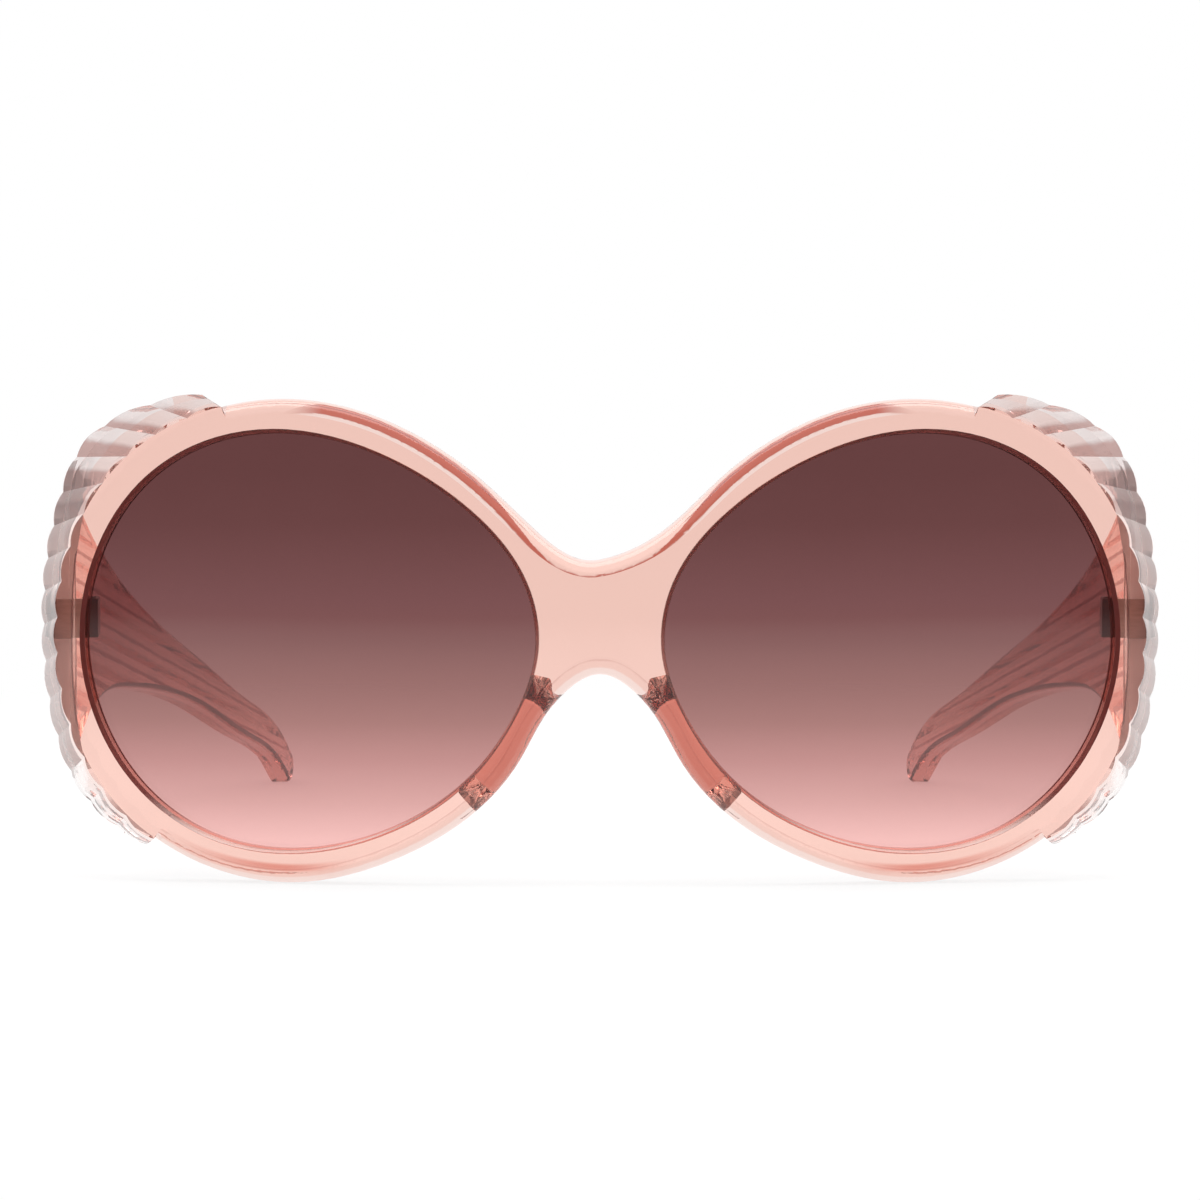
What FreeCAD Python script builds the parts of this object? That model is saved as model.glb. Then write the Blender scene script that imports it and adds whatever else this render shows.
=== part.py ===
import FreeCAD, Part
import math
import os

import Sketcher
from FreeCAD import Rotation, Vector

# Oversized sunglasses in clear moulded plastic, resting on the rims and the temple tips.
# X runs across the face, Y runs back from the bridge to the temple tips and Z is up.
# The origin is on the resting surface, below the middle of the object.

SIZES = [
    ("overall_depth", 146.0, "front of the bridge to the end of the temple tips"),
    ("wrap_radius", 300.0, "radius of the ball that the front face lies on"),
    ("frame_thickness", 4.0, "thickness of the rims and the bridge"),
    ("lens_width", 60.3, "lens opening, across"),
    ("lens_height", 55.3, "lens opening, up"),
    ("bridge_width", 16.8, "between the two lens openings"),
    ("apex_shift", 2.2, "top and bottom of the opening lie this far outward of its middle"),
    ("nasal_lift", 1.0, "the innermost point of the opening lies this far above its middle"),
    ("fullness_upper_nasal", 0.664, "corner of the opening as a share of its half sizes"),
    ("fullness_upper_outer", 0.742, "corner of the opening as a share of its half sizes"),
    ("fullness_lower_outer", 0.725, "corner of the opening as a share of its half sizes"),
    ("fullness_lower_nasal", 0.674, "corner of the opening as a share of its half sizes"),
    ("rim_brow", 4.3, "rim width above the lens"),
    ("rim_corner", 3.7, "rim width at the two outer corners"),
    ("rim_side", 3.1, "rim width at the side"),
    ("rim_bottom", 4.15, "rim width below the lens"),
    ("rim_nasal", 3.9, "rim width below the nose pad"),
    ("rim_pad", 3.7, "rim width beside the nose pad"),
    ("bridge_top", 11.0, "top of the bridge, above the middle of the lenses"),
    ("bridge_shoulder_x", 8.7, "where the bridge line meets the brow line"),
    ("bridge_shoulder_rise", 4.1, "rise of the brow line at that place"),
    ("nose_arch", 4.0, "underside of the bridge, below the middle of the lenses"),
    ("nose_shoulder_x", 4.9, "where the arch meets the side of the nose"),
    ("nose_shoulder_drop", 2.7, "drop of the arch at that place"),
    ("front_round", 2.2, "rounding of the front edge of the rims"),
    ("back_round", 1.2, "rounding of the back edge of the rims"),
    ("lens_setback", 1.9, "front of the lens behind the front of the rim"),
    ("lens_thickness", 1.5, "lens thickness"),
    ("groove_depth", 0.4, "lens groove in the rim"),
    ("lens_clearance", 0.05, "lens to groove, all round"),
    ("flute_count", 15, "flutes on each flank"),
    ("flute_height", 0.5, "crest of a flute above its notches"),
    ("flute_start", 9.3, "first notch, along the rim from its highest point"),
    ("flute_end", 19.5, "last notch, along the rim from its lowest point"),
    ("flare_brow_out", 7.3, "flank's spread from rim to joint at the first notch, outward"),
    ("flare_brow_up", 3.8, "flank's spread at the first notch, upward"),
    ("flare_wing_share", 0.133, "upper corner, as a share of the way along the notches"),
    ("flare_wing_out", 9.2, "flank's spread at the upper corner, outward"),
    ("flare_wing_up", 1.3, "flank's spread at the upper corner, upward"),
    ("flare_temple_share", 0.267, "above the temple, as a share of the way along the notches"),
    ("flare_temple_out", 6.75, "flank's spread above the temple, outward"),
    ("flare_temple_down", 1.45, "flank's spread above the temple, downward"),
    ("flare_side_share", 0.533, "middle of the side, as a share of the way along the notches"),
    ("flare_side_out", 3.1, "flank's spread at the middle of the side, outward"),
    ("flare_side_down", 1.5, "flank's spread at the middle of the side, downward"),
    ("flare_cheek_share", 0.8, "below the temple, as a share of the way along the notches"),
    ("flare_cheek_out", 3.2, "flank's spread below the temple, outward"),
    ("flare_cheek_down", 2.8, "flank's spread below the temple, downward"),
    ("flare_low_out", 2.8, "flank's spread at the last notch, outward"),
    ("flare_low_down", 2.5, "flank's spread at the last notch, downward"),
    ("wall_front", 1.2, "flank's wall at the rim"),
    ("wall_end", 1.6, "flank's wall at its back edge, above and below the temple"),
    ("wall_joint", 4.7, "flank's wall at the hinge, which is the temple's thickness there"),
    ("joint_depth", 18.5, "back end of the flank, behind the front of the bridge"),
    ("joint_gap", 0.25, "gap between flank and temple"),
    ("joint_top", 20.2, "upper end of the joint, above the middle of the lenses"),
    ("joint_bottom", 17.3, "lower end of the joint, below the middle of the lenses"),
    ("flank_sweep_top", 9.0, "flank's back edge sweeps forward by this much at its upper end"),
    ("flank_sweep_bottom", 9.0, "flank's back edge sweeps forward by this much at its lower end"),
    ("toe_in", 8.4, "temples turn inward by this angle, degrees"),
    ("neck_depth", 9.5, "neck, where the flared front end of the temple ends, behind the joint"),
    ("neck_top", 13.2, "upper edge at the neck, above the middle of the lenses"),
    ("neck_bottom", 9.9, "lower edge at the neck, below the middle of the lenses"),
    ("root_depth", 26.5, "root of the arm, behind the joint"),
    ("root_top", 5.0, "upper edge at the root, above the middle of the lenses"),
    ("root_bottom", 8.8, "lower edge at the root, below the middle of the lenses"),
    ("middle_depth", 25.0, "middle of the arm, before its rest on the ear"),
    ("middle_top", 23.7, "height of the upper edge at the middle"),
    ("middle_bottom", 16.6, "height of the lower edge at the middle"),
    ("ear_depth", 33.0, "arm's rest on the ear, before the end of the tip"),
    ("ear_top", 16.6, "height of the upper edge at the ear"),
    ("ear_bottom", 10.3, "height of the lower edge at the ear"),
    ("bend_length", 12.0, "length of the tip that is turned down"),
    ("bend_top", 11.6, "height of the upper edge where the tip turns down"),
    ("bend_bottom", 5.6, "height of the lower edge where the tip turns down"),
    ("tip_radius", 2.6, "rounding of the temple tip"),
    ("arm_thickness", 2.8, "temple thickness at the tip, below the flutes"),
    ("fan_height", 4.7, "fan's middle line at the joint, above the middle of the lenses"),
    ("fan_end_height", 8.4, "height of the fan's middle line at the tip"),
    ("tip_flute_pitch", 3.4, "flute spacing at the tip"),
    ("tip_flute_height", 0.3, "crest of a flute above its notches, at the tip"),
    ("temple_round", 0.8, "rounding of the temple's inner edges"),
    ("pad_height", 5.0, "nose pad, behind the back of the rim"),
    ("pad_width", 3.2, "nose pad, at its base"),
    ("pad_crest_width", 2.0, "nose pad, at its crest"),
    ("pad_length", 21.5, "nose pad, at its base"),
    ("pad_end_slope", 4.8, "length of a sloping end of the nose pad"),
    ("pad_round", 0.6, "rounding of the nose pad's edges"),
    ("hinge_height", 2.55, "middle of the hinge, above the middle of the lenses"),
    ("hinge_setback", 1.3, "hinge pin behind the joint"),
    ("hinge_offset", 1.4, "hinge pin inward of the temple's inner face"),
    ("barrel_diameter", 2.4, "hinge barrels"),
    ("barrel_length", 4.6, "all three barrels together"),
    ("middle_barrel", 2.6, "barrel of the temple leaf"),
    ("barrel_gap", 0.06, "end gap between barrels"),
    ("leaf_thickness", 1.0, "hinge leaf"),
    ("leaf_height", 5.2, "front leaf, up"),
    ("leaf_reach", 4.4, "front leaf, outward from the pin"),
    ("leaf_length", 8.2, "temple leaf, back from the pin"),
    ("leaf_start", 1.4, "temple leaf's plate begins this far behind the pin"),
    ("leaf_proud", 0.3, "temple leaf stands out of the temple by this much"),
    ("seat_clearance", 0.03, "leaf to its seat in the plastic"),
    ("screw_diameter", 1.2, "hinge screw"),
    ("screw_clearance", 0.04, "screw to barrel, on the radius"),
    ("screw_head_diameter", 1.9, "hinge screw's head"),
    ("screw_head_height", 0.5, "hinge screw's head"),
    ("screw_slot_width", 0.3, "slot in the screw's head"),
    ("screw_slot_depth", 0.25, "slot in the screw's head"),
]

doc = FreeCAD.newDocument("Sunglasses")
sheet = doc.addObject("Spreadsheet::Sheet", "Sizes")
for row, (alias, number, meaning) in enumerate(SIZES, start=1):
    sheet.set("A%d" % row, alias)
    sheet.set("B%d" % row, str(number))
    sheet.set("C%d" % row, meaning)
    sheet.setAlias("B%d" % row, alias)
doc.recompute()
size = {alias: float(sheet.get(alias)) for alias, number, meaning in SIZES}

front_y = -size["overall_depth"] / 2
lens_x = (size["bridge_width"] + size["lens_width"]) / 2
lens_z = size["rim_bottom"] + size["lens_height"] / 2
bridge_top = lens_z + size["bridge_top"]
nose_arch = lens_z - size["nose_arch"]
joint_top = lens_z + size["joint_top"]
joint_bottom = lens_z - size["joint_bottom"]


def at(x, depth, z):
    """A point at a depth behind the front of the bridge."""
    return Vector(x, front_y + depth, z)


def moved_to(point, depth):
    """The same place across and up, at another depth."""
    return at(point.x, depth, point.z)


def face_depth(point):
    """Depth of the front face at a place across and up."""
    across = point.x ** 2 + (point.z - lens_z) ** 2
    return size["wrap_radius"] - math.sqrt(size["wrap_radius"] ** 2 - across)


# Lens opening: a closed curve through its four extremes and four corners, with a station number for each

NASAL, UPPER_NASAL, TOP, UPPER_OUTER, OUTER, LOWER_OUTER, BOTTOM, LOWER_NASAL = range(8)
BELOW_NOSE = BOTTOM + 0.5
PAD_LOWER = LOWER_NASAL + 0.3
PAD_MIDDLE = LOWER_NASAL + 0.33
PAD_UPPER = LOWER_NASAL + 0.55


def lens_opening():
    half_width = size["lens_width"] / 2
    half_height = size["lens_height"] / 2

    def corner(out, high, name):
        share = size["fullness_" + name]
        return at(lens_x + out * half_width * share, 0, lens_z + high * half_height * share)

    points = [
        at(lens_x - half_width, 0, lens_z + size["nasal_lift"]),
        corner(-1, 1, "upper_nasal"),
        at(lens_x + size["apex_shift"], 0, lens_z + half_height),
        corner(1, 1, "upper_outer"),
        at(lens_x + half_width, 0, lens_z),
        corner(1, -1, "lower_outer"),
        at(lens_x + size["apex_shift"], 0, lens_z - half_height),
        corner(-1, -1, "lower_nasal"),
    ]
    curve = Part.BSplineCurve()
    curve.interpolate(Points=points, PeriodicFlag=True, Parameters=list(range(len(points) + 1)))
    return curve


opening_curve = lens_opening()


def rim_point(station, width):
    """The point at a distance outside the lens opening."""
    point = opening_curve.value(station)
    along = opening_curve.tangent(station)[0]
    return point + Vector(-along.z, 0, along.x) * width


def opening_at(width, depth):
    """The opening at a distance outside its edge, carried square to the front face to a depth."""
    points = []
    for half_station in range(16):
        point = rim_point(half_station / 2, width)
        scale = (size["wrap_radius"] - depth) / (size["wrap_radius"] - face_depth(point))
        points.append(at(point.x * scale, depth, lens_z + (point.z - lens_z) * scale))
    curve = Part.BSplineCurve()
    curve.interpolate(Points=points, PeriodicFlag=True)
    return curve


# Outline of the front: from the top of the bridge round the right lens to the nose arch, and back by the left


def front_outline():
    half = [
        at(size["bridge_shoulder_x"], 0, bridge_top + size["bridge_shoulder_rise"]),
        rim_point(UPPER_NASAL, size["rim_brow"]),
        rim_point(TOP, size["rim_brow"]),
        rim_point(UPPER_OUTER, size["rim_corner"]),
        rim_point(OUTER, size["rim_side"]),
        rim_point(LOWER_OUTER, size["rim_corner"]),
        rim_point(BOTTOM, size["rim_bottom"]),
        rim_point(BELOW_NOSE, size["rim_nasal"]),
        rim_point(LOWER_NASAL, size["rim_nasal"]),
        rim_point(PAD_LOWER, size["rim_pad"]),
        rim_point(PAD_UPPER, size["rim_pad"]),
        at(size["nose_shoulder_x"], 0, nose_arch - size["nose_shoulder_drop"]),
    ]
    other_half = [Vector(-point.x, point.y, point.z) for point in reversed(half)]
    middle_top = at(0, 0, bridge_top)
    middle_bottom = at(0, 0, nose_arch)
    curve = Part.BSplineCurve()
    curve.interpolate(Points=[middle_top] + half + [middle_bottom] + other_half, PeriodicFlag=True)
    return curve


outline_curve = front_outline()


# Helpers that add an object to the document


def add(kind, name, bound=None, **properties):
    """An object with its properties set, and with sizes bound to the sheet."""
    thing = doc.addObject(kind, name)
    for key, value in properties.items():
        setattr(thing, key, value)
    for key, expression in (bound or {}).items():
        thing.setExpression(key, expression)
    return thing


def outline(name, edges):
    """A wire kept as an object of its own, for extrusions and lofts."""
    return add("Part::Feature", name, Shape=Part.Wire(Part.__sortEdges__(edges)))


def closed_lines(corners):
    """Straight edges from corner to corner and back to the first."""
    return [
        Part.LineSegment(first, second).toShape()
        for first, second in zip(corners, corners[1:] + corners[:1])
    ]


def quarters(curve):
    """A closed curve as four edges that follow on smoothly."""
    first, last = curve.FirstParameter, curve.LastParameter
    steps = [first + (last - first) * number / 4 for number in range(5)]
    return [curve.toShape(start, end) for start, end in zip(steps, steps[1:])]


def block(name, wire, direction, length):
    """The prism of a closed wire."""
    prism = add("Part::Extrusion", name, Base=wire, DirMode="Custom", Dir=direction, Solid=True)
    prism.LengthFwd = length
    return prism


def loft(name, *wires):
    return add("Part::Loft", name, Sections=list(wires), Solid=True, Ruled=True)


def common(name, *shapes):
    return add("Part::MultiCommon", name, Shapes=list(shapes))


def fuse(name, *shapes):
    return add("Part::MultiFuse", name, Shapes=list(shapes), Refine=True)


def cut(name, base, tool):
    return add("Part::Cut", name, Base=base, Tool=tool)


def mirrored(name, source):
    """The same piece on the other side of the face."""
    return add("Part::Mirroring", name, Source=source, Normal=Vector(1, 0, 0))


def ball(name, inset):
    """The wrap of the front, set back from the front face."""
    sphere = add("Part::Sphere", name, bound={"Radius": "Sizes.wrap_radius - (%s)" % inset})
    sphere.Placement.Base = at(0, size["wrap_radius"], lens_z)
    return sphere


def shell(name, prism, front_inset, back_inset):
    """The part of a prism between two depths behind the front face."""
    front = common(name + "_front", prism, ball(name + "_front_ball", front_inset))
    return cut(name, front, ball(name + "_back_ball", back_inset))


across = Vector(1, 0, 0)
back = Vector(0, 1, 0)
up = Vector(0, 0, 1)
reach = lens_x + size["lens_width"]
flank_depth = size["joint_depth"] + size["frame_thickness"]

# Plate of the front: both halves of the outline, wrapped on the ball, with round edges

plate_outline = outline("plate_outline", quarters(outline_curve))
plate_prism = block("plate_prism", plate_outline, back, flank_depth)
sharp_plate = shell("sharp_plate", plate_prism, "0", "Sizes.frame_thickness")
doc.recompute()


def lies_at(edge, inset):
    """Whether an edge runs along the outline at this depth behind the front face."""
    middle = edge.valueAt((edge.FirstParameter + edge.LastParameter) / 2)
    radius = middle.distanceToPoint(at(0, size["wrap_radius"], lens_z))
    return abs(size["wrap_radius"] - inset - radius) < size["frame_thickness"] / 10


def rounded(name, base, rounds):
    """Fillets on the edges that a test picks, each with its radius."""
    picks = []
    for number, edge in enumerate(base.Shape.Edges, start=1):
        for test, radius in rounds:
            if test(edge):
                picks.append((number, radius, radius))
    return add("Part::Fillet", name, Base=base, Edges=picks)


plate = rounded("plate", sharp_plate, [
    (lambda edge: lies_at(edge, 0), size["front_round"]),
    (lambda edge: lies_at(edge, size["frame_thickness"]), size["back_round"]),
])
doc.recompute()

# Fluted flank: a wall of flutes between the rim and the joint with the temple

flutes = int(size["flute_count"])
top_station = outline_curve.parameter(rim_point(TOP, size["rim_brow"]))
bottom_station = outline_curve.parameter(rim_point(BOTTOM, size["rim_bottom"]))
rim_notches = outline_curve.discretize(
    Number=flutes + 1,
    First=outline_curve.parameterAtDistance(size["flute_start"], top_station),
    Last=outline_curve.parameterAtDistance(-size["flute_end"], bottom_station),
)


def flare_curve():
    """The flank's spread, out and up, against the share of the way down its notches."""
    stations = [
        (0, size["flare_brow_out"], size["flare_brow_up"]),
        (size["flare_wing_share"], size["flare_wing_out"], size["flare_wing_up"]),
        (size["flare_temple_share"], size["flare_temple_out"], -size["flare_temple_down"]),
        (size["flare_side_share"], size["flare_side_out"], -size["flare_side_down"]),
        (size["flare_cheek_share"], size["flare_cheek_out"], -size["flare_cheek_down"]),
        (1, size["flare_low_out"], -size["flare_low_down"]),
    ]
    curve = Part.BSplineCurve()
    curve.interpolate(
        Points=[Vector(out, 0, rise) for share, out, rise in stations],
        Parameters=[share for share, out, rise in stations],
    )
    return curve


flare = flare_curve()
joint_notches = [
    moved_to(notch + flare.value(number / flutes), size["joint_depth"])
    for number, notch in enumerate(rim_notches)
]
rim_notches = [moved_to(notch, face_depth(notch)) for notch in rim_notches]


def carried_on(first, second, depth):
    """Where the straight line through two points reaches a depth."""
    share = (front_y + depth - first.y) / (second.y - first.y)
    return first + (second - first) * share


def outward(points, number):
    """Unit vector out of a line of notches, at one of them."""
    before = points[max(number - 1, 0)]
    after = points[min(number + 1, len(points) - 1)]
    along = after - before
    return Vector(-along.z, 0, along.x).normalize()


def flute_arcs(points, height):
    """One arc from each notch to the next, with its crest at a height."""
    arcs = []
    for first, second in zip(points, points[1:]):
        along = second - first
        crest = (first + second) / 2 + Vector(-along.z, 0, along.x).normalize() * height
        arcs.append(Part.Arc(first, crest, second).toShape())
    return arcs


def flank_section(name, points, walls):
    """Flutes outside, and a smooth inside at each notch's own wall thickness."""
    inner = []
    for number, (point, wall) in enumerate(zip(points, walls)):
        inner.append(point - outward(points, number) * wall)
    inside = Part.BSplineCurve()
    inside.interpolate(Points=inner)
    edges = flute_arcs(points, size["flute_height"])
    edges.append(Part.LineSegment(points[-1], inner[-1]).toShape())
    edges.append(inside.toShape())
    edges.append(Part.LineSegment(inner[0], points[0]).toShape())
    return outline(name, edges)


start_depth = min(face_depth(notch) for notch in rim_notches) - size["flute_height"]
start_notches = [
    carried_on(notch, joint_notch, start_depth) for notch, joint_notch in zip(rim_notches, joint_notches)
]
joint_inner_x = max(notch.x for notch in joint_notches) - size["wall_joint"]
flank_top = max(notch.z for notch in joint_notches) + size["flute_height"]
flank_strip = loft(
    "flank_strip",
    flank_section("flank_front", start_notches, [size["wall_front"] for notch in start_notches]),
    flank_section(
        "flank_back",
        joint_notches,
        [max(size["wall_end"], notch.x - joint_inner_x) for notch in joint_notches],
    ),
)


def flank_side():
    """Side view of the flank: upright along the joint, swept forward above and below it."""
    joint = size["joint_depth"]
    low_joint = at(0, joint, joint_bottom)
    high_joint = at(0, joint, joint_top)
    low_end = at(0, joint - size["flank_sweep_bottom"], 0)
    high_end = at(0, joint - size["flank_sweep_top"], flank_top)
    low_curve = Part.BezierCurve()
    low_curve.setPoles([low_end, (low_joint + at(0, joint, 0)) / 2, low_joint])
    high_curve = Part.BezierCurve()
    high_curve.setPoles([high_joint, at(0, joint, flank_top), high_end])
    forward = Vector(0, -joint, 0)
    return [
        Part.LineSegment(low_joint, high_joint).toShape(),
        high_curve.toShape(),
        Part.LineSegment(high_end, high_end + forward).toShape(),
        Part.LineSegment(high_end + forward, low_end + forward).toShape(),
        Part.LineSegment(low_end + forward, low_end).toShape(),
        low_curve.toShape(),
    ]


def flank_plan():
    """Plan of the flank: square at the joint, swept forward to the back of the rim at its upper end."""
    first = rim_notches[0]
    end_depth = face_depth(first) + size["frame_thickness"]
    corners = [
        at(first.x, end_depth, 0),
        at(joint_inner_x, size["joint_depth"], 0),
        at(reach, size["joint_depth"], 0),
        at(reach, 0, 0),
        at(0, 0, 0),
        at(0, end_depth, 0),
    ]
    return closed_lines(corners)


flank_side_block = block("flank_side_block", outline("flank_side", flank_side()), across, reach)
flank_plan_block = block("flank_plan_block", outline("flank_plan", flank_plan()), up, flank_top)
right_flank = common("right_flank", flank_strip, ball("flank_ball", "0"), flank_side_block, flank_plan_block)


def flank_wedge():
    """Front view of the stretch of rim that carries the flank, where its edges stay square."""
    middle = at(lens_x, 0, lens_z)
    first = middle + (moved_to(rim_notches[0], 0) - middle) * 2
    last = middle + (moved_to(rim_notches[-1], 0) - middle) * 2
    return closed_lines([middle, last, at(2 * reach, 0, last.z), at(2 * reach, 0, first.z), first])


right_wedge = block("right_wedge", outline("flank_wedge", flank_wedge()), back, flank_depth)
right_side = fuse("right_side", common("right_root", sharp_plate, right_wedge), right_flank)
left_side = mirrored("left_side", right_side)
plate_but_right = cut("plate_but_right", plate, right_wedge)
plate_middle = cut("plate_middle", plate_but_right, mirrored("left_wedge", right_wedge))
doc.recompute()

# Nose pad: a ridge along the rim beside the nose, with sloping ends


def pad_section(name, length, width, depth):
    first = opening_curve.parameterAtDistance(-length / 2, PAD_MIDDLE)
    last = opening_curve.parameterAtDistance(length / 2, PAD_MIDDLE)
    stations = [first + (last - first) * share for share in (0, 0.5, 1)]
    inset = (size["rim_pad"] - size["pad_width"]) / 2
    sides = []
    for distance in (inset, inset + width):
        curve = Part.BSplineCurve()
        curve.interpolate(Points=[moved_to(rim_point(station, distance), depth) for station in stations])
        sides.append(curve)
    ends = [
        Part.LineSegment(sides[0].StartPoint, sides[1].StartPoint).toShape(),
        Part.LineSegment(sides[0].EndPoint, sides[1].EndPoint).toShape(),
    ]
    return outline(name, [sides[0].toShape(), sides[1].toShape()] + ends)


pad_base_depth = size["frame_thickness"] / 2
pad_crest_depth = face_depth(rim_point(LOWER_NASAL, 0)) + size["frame_thickness"] + size["pad_height"]
pad_crest_length = size["pad_length"] - 2 * size["pad_end_slope"]
sharp_pad = loft(
    "sharp_pad",
    pad_section("pad_base", size["pad_length"], size["pad_width"], pad_base_depth),
    pad_section("pad_crest", pad_crest_length, size["pad_crest_width"], pad_crest_depth),
)
doc.recompute()


def beyond_base(edge):
    """Whether an edge lies behind the base of the nose pad."""
    return edge.CenterOfMass.y > front_y + pad_base_depth + size["pad_round"]


right_pad = rounded("right_pad", sharp_pad, [(beyond_base, size["pad_round"])])
left_pad = mirrored("left_pad", right_pad)
doc.recompute()

# Lens, and the groove that holds it


def plug(name, width):
    """A plug through the opening, square to the front face, from before it to behind the flank."""
    front = outline(name + "_front", quarters(opening_at(width, -size["lens_setback"])))
    rear = outline(name + "_rear", quarters(opening_at(width, flank_depth)))
    return loft(name, front, rear)


opening_plug = plug("opening_plug", 0)
groove_plug = plug("groove_plug", size["groove_depth"])
lens_plug = plug("lens_plug", size["groove_depth"] - size["lens_clearance"])
lens_front = "Sizes.lens_setback"
lens_back = "Sizes.lens_setback + Sizes.lens_thickness"
groove_front = lens_front + " - Sizes.lens_clearance"
groove_back = lens_back + " + Sizes.lens_clearance"
right_groove = shell("right_groove", groove_plug, groove_front, groove_back)
right_lens = shell("right_lens", lens_plug, lens_front, lens_back)
left_lens = mirrored("left_lens", right_lens)

# Hinge place: the pin stands behind the joint, inward of the temple's inner face

toe_in = math.radians(size["toe_in"])
hinge_depth = size["joint_depth"] + size["hinge_setback"]


def inner_x(depth):
    """Inner face of the temple at a depth."""
    return joint_inner_x - math.tan(toe_in) * (depth - size["joint_depth"])


hinge_x = inner_x(hinge_depth) - size["hinge_offset"] / math.cos(toe_in)
hinge_place = at(hinge_x, hinge_depth, lens_z + size["hinge_height"])
temple_turn = Rotation(up, size["toe_in"])

# Temple: a fan of flutes that narrows to the arm, cut to its side view and its inner face


joint_pitch = joint_notches[flutes // 2].distanceToPoint(joint_notches[flutes // 2 + 1])
tip_depth = size["overall_depth"] - size["tip_radius"]
tip_x = inner_x(size["overall_depth"]) + size["arm_thickness"]
fan_end = at(tip_x, size["overall_depth"], size["fan_end_height"])


def temple_numbers():
    """The notches that reach the joint, with one to spare above and below."""
    spare = 3 * joint_pitch / 2
    lowest = joint_bottom - spare
    highest = joint_top + spare
    return [number for number, notch in enumerate(joint_notches) if lowest < notch.z < highest]


def tip_notch(notch):
    """Where the flute line of a joint notch ends at the tip."""
    shrink = size["tip_flute_pitch"] / joint_pitch
    return fan_end + up * ((notch.z - lens_z - size["fan_height"]) * shrink)


def fan_section(name, points, height):
    inward = Vector(-2 * size["wall_joint"], 0, 0)
    edges = flute_arcs(points, height)
    edges.append(Part.LineSegment(points[-1], points[-1] + inward).toShape())
    edges.append(Part.LineSegment(points[-1] + inward, points[0] + inward).toShape())
    edges.append(Part.LineSegment(points[0] + inward, points[0]).toShape())
    return outline(name, edges)


fan_notches = [joint_notches[number] for number in temple_numbers()]
fan = loft(
    "fan",
    fan_section("fan_joint", fan_notches, size["flute_height"]),
    fan_section("fan_tip", [tip_notch(notch) for notch in fan_notches], size["tip_flute_height"]),
)


def temple_side():
    """Side view of the temple: flared at the joint, slender along the arm, turned down at the tip."""
    neck_depth = size["joint_depth"] + size["neck_depth"]
    root_depth = size["joint_depth"] + size["root_depth"]
    ear_depth = size["overall_depth"] - size["ear_depth"]
    middle_depth = ear_depth - size["middle_depth"]
    bend_depth = tip_depth - size["bend_length"]
    stations = [
        (size["joint_depth"] + size["joint_gap"], joint_top, joint_bottom),
        (neck_depth, lens_z + size["neck_top"], lens_z - size["neck_bottom"]),
        (root_depth, lens_z + size["root_top"], lens_z - size["root_bottom"]),
        (middle_depth, size["middle_top"], size["middle_bottom"]),
        (ear_depth, size["ear_top"], size["ear_bottom"]),
        (bend_depth, size["bend_top"], size["bend_bottom"]),
    ]
    bend = at(0, bend_depth, (size["bend_top"] + size["bend_bottom"]) / 2)
    tip = at(0, tip_depth, size["tip_radius"])
    along = (tip - bend).normalize()
    square = Vector(0, -along.z, along.y)
    top = [at(0, depth, height) for depth, height, low in stations]
    top.append(tip + square * size["tip_radius"])
    bottom = [at(0, depth, low) for depth, height, low in stations]
    bottom.append(tip - square * size["tip_radius"])
    edges = []
    for points in (top, bottom):
        curve = Part.BSplineCurve()
        curve.interpolate(Points=points)
        edges.append(curve.toShape())
    edges.append(Part.Arc(top[-1], tip + along * size["tip_radius"], bottom[-1]).toShape())
    edges.append(Part.LineSegment(bottom[0], top[0]).toShape())
    return edges


def temple_plan():
    """Plan of the temple: everything outward of the straight inner face."""
    near = at(inner_x(0), 0, -size["tip_radius"])
    far = at(inner_x(2 * size["overall_depth"]), 2 * size["overall_depth"], -size["tip_radius"])
    outside = Vector(reach, 0, 0)
    return closed_lines([near, far, far + outside, near + outside])


temple_side_block = block("temple_side_block", outline("temple_side", temple_side()), across, reach)
temple_plan_block = block("temple_plan_block", outline("temple_plan", temple_plan()), up, 2 * lens_z)
sharp_temple = common("sharp_temple", fan, temple_side_block, temple_plan_block)
doc.recompute()


def on_inner_face(edge):
    """Whether an edge runs along the temple's inner face, away from the joint."""
    points = edge.discretize(5)
    gaps = [abs(point.x - inner_x(point.y - front_y)) for point in points]
    depths = [point.y - front_y for point in points]
    return max(gaps) < size["temple_round"] / 10 and max(depths) - min(depths) > size["temple_round"]


temple_solid = rounded("temple_solid", sharp_temple, [(on_inner_face, size["temple_round"])])
doc.recompute()

# Hinge: sketches and features of the two leaves and the screw, about the pin


def sketch_on(body, name, role):
    """A sketch on one of the body's own planes."""
    plane = next(item for item in body.Origin.OriginFeatures if item.Role == role)
    sketch = body.newObject("Sketcher::SketchObject", name)
    sketch.AttachmentSupport = [(plane, "")]
    sketch.MapMode = "FlatFace"
    return sketch


def place_point(sketch, line, end, axis, expression):
    """Ties one coordinate of a line's end to an expression."""
    value = sheet.evalExpression(expression)
    on_axis = {"DistanceX": -2, "DistanceY": -1}[axis]
    if value == 0:
        sketch.addConstraint(Sketcher.Constraint("PointOnObject", line, end, on_axis))
    elif value > 0:
        number = sketch.addConstraint(Sketcher.Constraint(axis, -1, 1, line, end, value))
        sketch.setExpression("Constraints[%d]" % number, expression)
    else:
        number = sketch.addConstraint(Sketcher.Constraint(axis, line, end, -1, 1, -value))
        sketch.setExpression("Constraints[%d]" % number, "-(%s)" % expression)


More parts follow.
